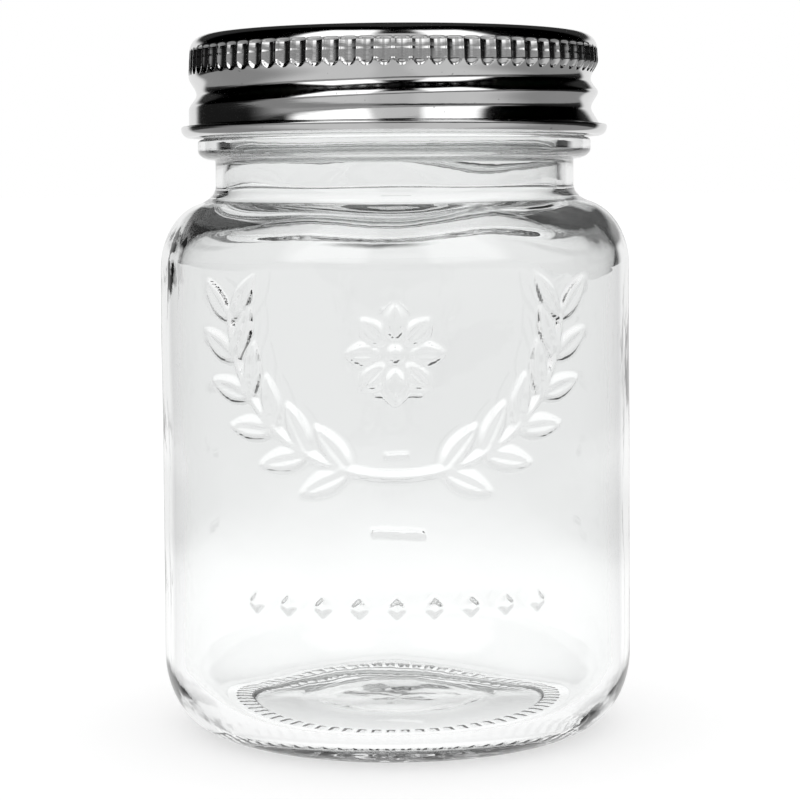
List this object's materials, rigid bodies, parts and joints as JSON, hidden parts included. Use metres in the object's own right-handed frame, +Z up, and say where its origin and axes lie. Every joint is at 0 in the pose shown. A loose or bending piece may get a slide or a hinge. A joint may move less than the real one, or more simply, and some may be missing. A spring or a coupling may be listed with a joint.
{
  "type": "glass preserving jar with screw lid",
  "caption": "Round clear-glass preserving jar with a raised leaf ornament, closed by a flat lid and a knurled metal screw band.",
  "frame": {"origin": "centre of the base, on the surface that the jar stands on", "axes": "+Z up along the jar's axis, -Y towards the front with the leafy branches, +X to the viewer's right"},
  "size_m": [0.082, 0.0834, 0.1201],
  "materials": {
    "clear_glass": "clear moulded soda-lime glass with a faintly uneven surface",
    "lid_tinplate": "smooth bright tinplate, lightly scuffed",
    "seal_compound": "matt sealing compound",
    "band_tinplate": "polished rolled tinplate with fine scratches"
  },
  "bodies": {
    "jar": {"glass_jar": "clear_glass"},
    "lid": {"lid_disc": "lid_tinplate", "sealing_ring": "seal_compound"},
    "band": {"screw_band": "band_tinplate"}
  },
  "joints": [
    {"name": "lid_lift", "type": "slide", "parent": "jar", "child": "lid", "axis": [0, 0, 1], "range_m": [0, 0.0166]},
    {"name": "band_turn", "type": "hinge", "parent": "lid", "child": "band", "pos_m": [0, 0, 0.1], "axis": [0, 0, 1], "range_deg": [0, 1170]}
  ],
  "couplings": [
    {"joint": "lid_lift", "follows": "band_turn", "m_per_rad": 0.00080851}
  ]
}
